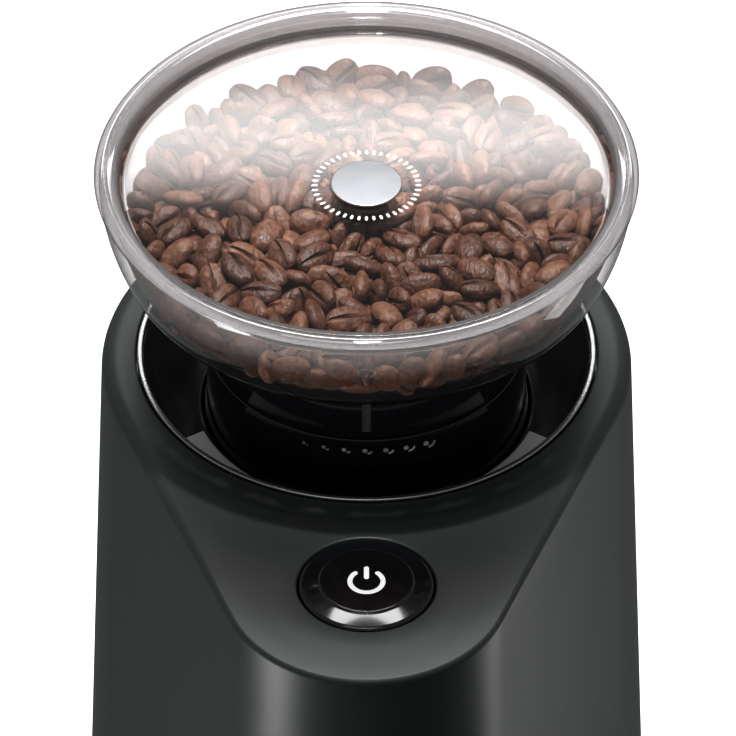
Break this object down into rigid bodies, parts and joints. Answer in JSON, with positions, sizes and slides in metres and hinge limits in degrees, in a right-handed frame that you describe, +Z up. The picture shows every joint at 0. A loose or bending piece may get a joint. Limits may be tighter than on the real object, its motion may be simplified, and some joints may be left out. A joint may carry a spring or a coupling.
{
  "type": "burr coffee grinder",
  "caption": "Burr coffee grinder: tapered housing, clear bean hopper that turns to set the grind, start button and a grounds container that slides out.",
  "frame": {"origin": "middle of the footprint, on the worktop under the feet", "axes": "+Z up, -Y towards the front (the start button and the grounds container), +X towards the right hand side of someone facing the front of the grinder"},
  "size_m": [0.139, 0.2018, 0.3156],
  "materials": {
    "anthracite": "satin anthracite moulding",
    "black_plastic": "fine matt black moulding",
    "gloss_black": "high-gloss black moulding",
    "clear_plastic": "clear polished moulding with a faint warm smoke tint",
    "smoked_plastic": "smoked clear moulding",
    "silver": "bright satin metal",
    "steel": "plain steel",
    "burr_steel": "hardened ground steel",
    "bronze": "sintered bronze",
    "zinc": "cast zinc alloy",
    "rubber": "matt black rubber",
    "nylon": "off-white nylon",
    "windings": "lacquered copper windings on steel plates",
    "circuit_board": "green circuit board",
    "coffee_bean": "roasted coffee beans, only in the visual model",
    "white_print": "white print"
  },
  "bodies": {
    "base": {"base_pan": "black_plastic", "foot_front_left": "rubber", "foot_front_right": "rubber", "foot_rear_left": "rubber", "foot_rear_right": "rubber", "base_screw_1": "steel", "base_screw_2": "steel", "base_screw_3": "steel", "base_screw_4": "steel", "housing_shell": "anthracite", "cord_gland": "rubber", "well_trim_ring": "silver", "well_dish": "gloss_black", "fineness_scale_ring": "gloss_black", "grind_chamber": "black_plastic", "spindle_bearing_upper": "steel", "spindle_seal": "rubber", "grounds_chute": "black_plastic", "chute_seal": "rubber", "container_bay": "black_plastic", "gearbox_case": "zinc", "gearbox_cover": "zinc", "idler_pin": "steel", "spindle_bearing_lower": "steel", "button_guide": "black_plastic", "start_switch": "black_plastic", "button_spring": "steel", "motor_case": "zinc", "motor_end_bell": "zinc", "motor_bush_upper": "bronze", "motor_bush_lower": "bronze", "motor_field": "windings", "drive_frame": "steel", "control_board": "circuit_board"},
    "container": {"grounds_container": "smoked_plastic"},
    "rotor": {"motor_armature": "windings", "motor_pinion": "bronze", "motor_fan": "black_plastic"},
    "idler": {"idler_gear": "steel"},
    "spindle": {"burr_spindle": "steel", "output_gear": "nylon", "grounds_sweeper": "black_plastic", "cone_burr": "burr_steel", "burr_bolt": "steel"},
    "adjuster": {"fineness_adjuster": "black_plastic"},
    "carrier": {"burr_carrier": "black_plastic", "ring_burr": "burr_steel"},
    "hopper": {"hopper_bowl": "clear_plastic", "hopper_neck": "gloss_black", "hopper_throat": "black_plastic", "hopper_web": "black_plastic", "shutter_rivet": "steel"},
    "shutter": {"hopper_shutter": "black_plastic"},
    "lid": {"hopper_lid": "clear_plastic", "lid_seal": "rubber", "lid_badge": "silver"},
    "button": {"start_button": "gloss_black", "switch_plunger": "nylon"}
  },
  "joints": [
    {"name": "motor_spin", "type": "hinge", "parent": "base", "child": "rotor", "pos_m": [0, 0.02867, 0.125], "axis": [0, 0, 1], "continuous": true},
    {"name": "idler_spin", "type": "hinge", "parent": "base", "child": "idler", "pos_m": [0, 0.05282, 0.17], "axis": [0, 0, 1], "continuous": true},
    {"name": "spindle_spin", "type": "hinge", "parent": "base", "child": "spindle", "pos_m": [0, 0.02867, 0.2], "axis": [0, 0, 1], "continuous": true},
    {"name": "fineness_turn", "type": "hinge", "parent": "base", "child": "adjuster", "pos_m": [0, 0.02867, 0.25], "axis": [0, 0, 1], "range_deg": [-24, 24]},
    {"name": "burr_lift", "type": "slide", "parent": "adjuster", "child": "carrier", "axis": [0, 0, 1], "range_m": [-0.00042, 0.00042]},
    {"name": "hopper_lift", "type": "slide", "parent": "adjuster", "child": "hopper", "axis": [0, 0, 1], "range_m": [0, 0.07]},
    {"name": "shutter_turn", "type": "hinge", "parent": "hopper", "child": "shutter", "pos_m": [0, 0.02867, 0.2515], "axis": [0, 0, 1], "range_deg": [0, 90]},
    {"name": "lid_lift", "type": "slide", "parent": "hopper", "child": "lid", "axis": [0, 0, 1], "range_m": [0, 0.08]},
    {"name": "start_press", "type": "slide", "parent": "base", "child": "button", "axis": [0, 0, -1], "range_m": [0, 0.0016], "stiffness_N_per_m": 350, "springref_m": -0.002, "deforming": ["button_spring"]},
    {"name": "container_slide", "type": "slide", "parent": "base", "child": "container", "axis": [0, -1, 0], "range_m": [0, 0.11]}
  ],
  "couplings": [
    {"joint": "idler_spin", "follows": "motor_spin", "ratio": -0.33333},
    {"joint": "spindle_spin", "follows": "motor_spin", "ratio": 0.11111},
    {"joint": "burr_lift", "follows": "fineness_turn", "m_per_rad": 0.000955}
  ]
}
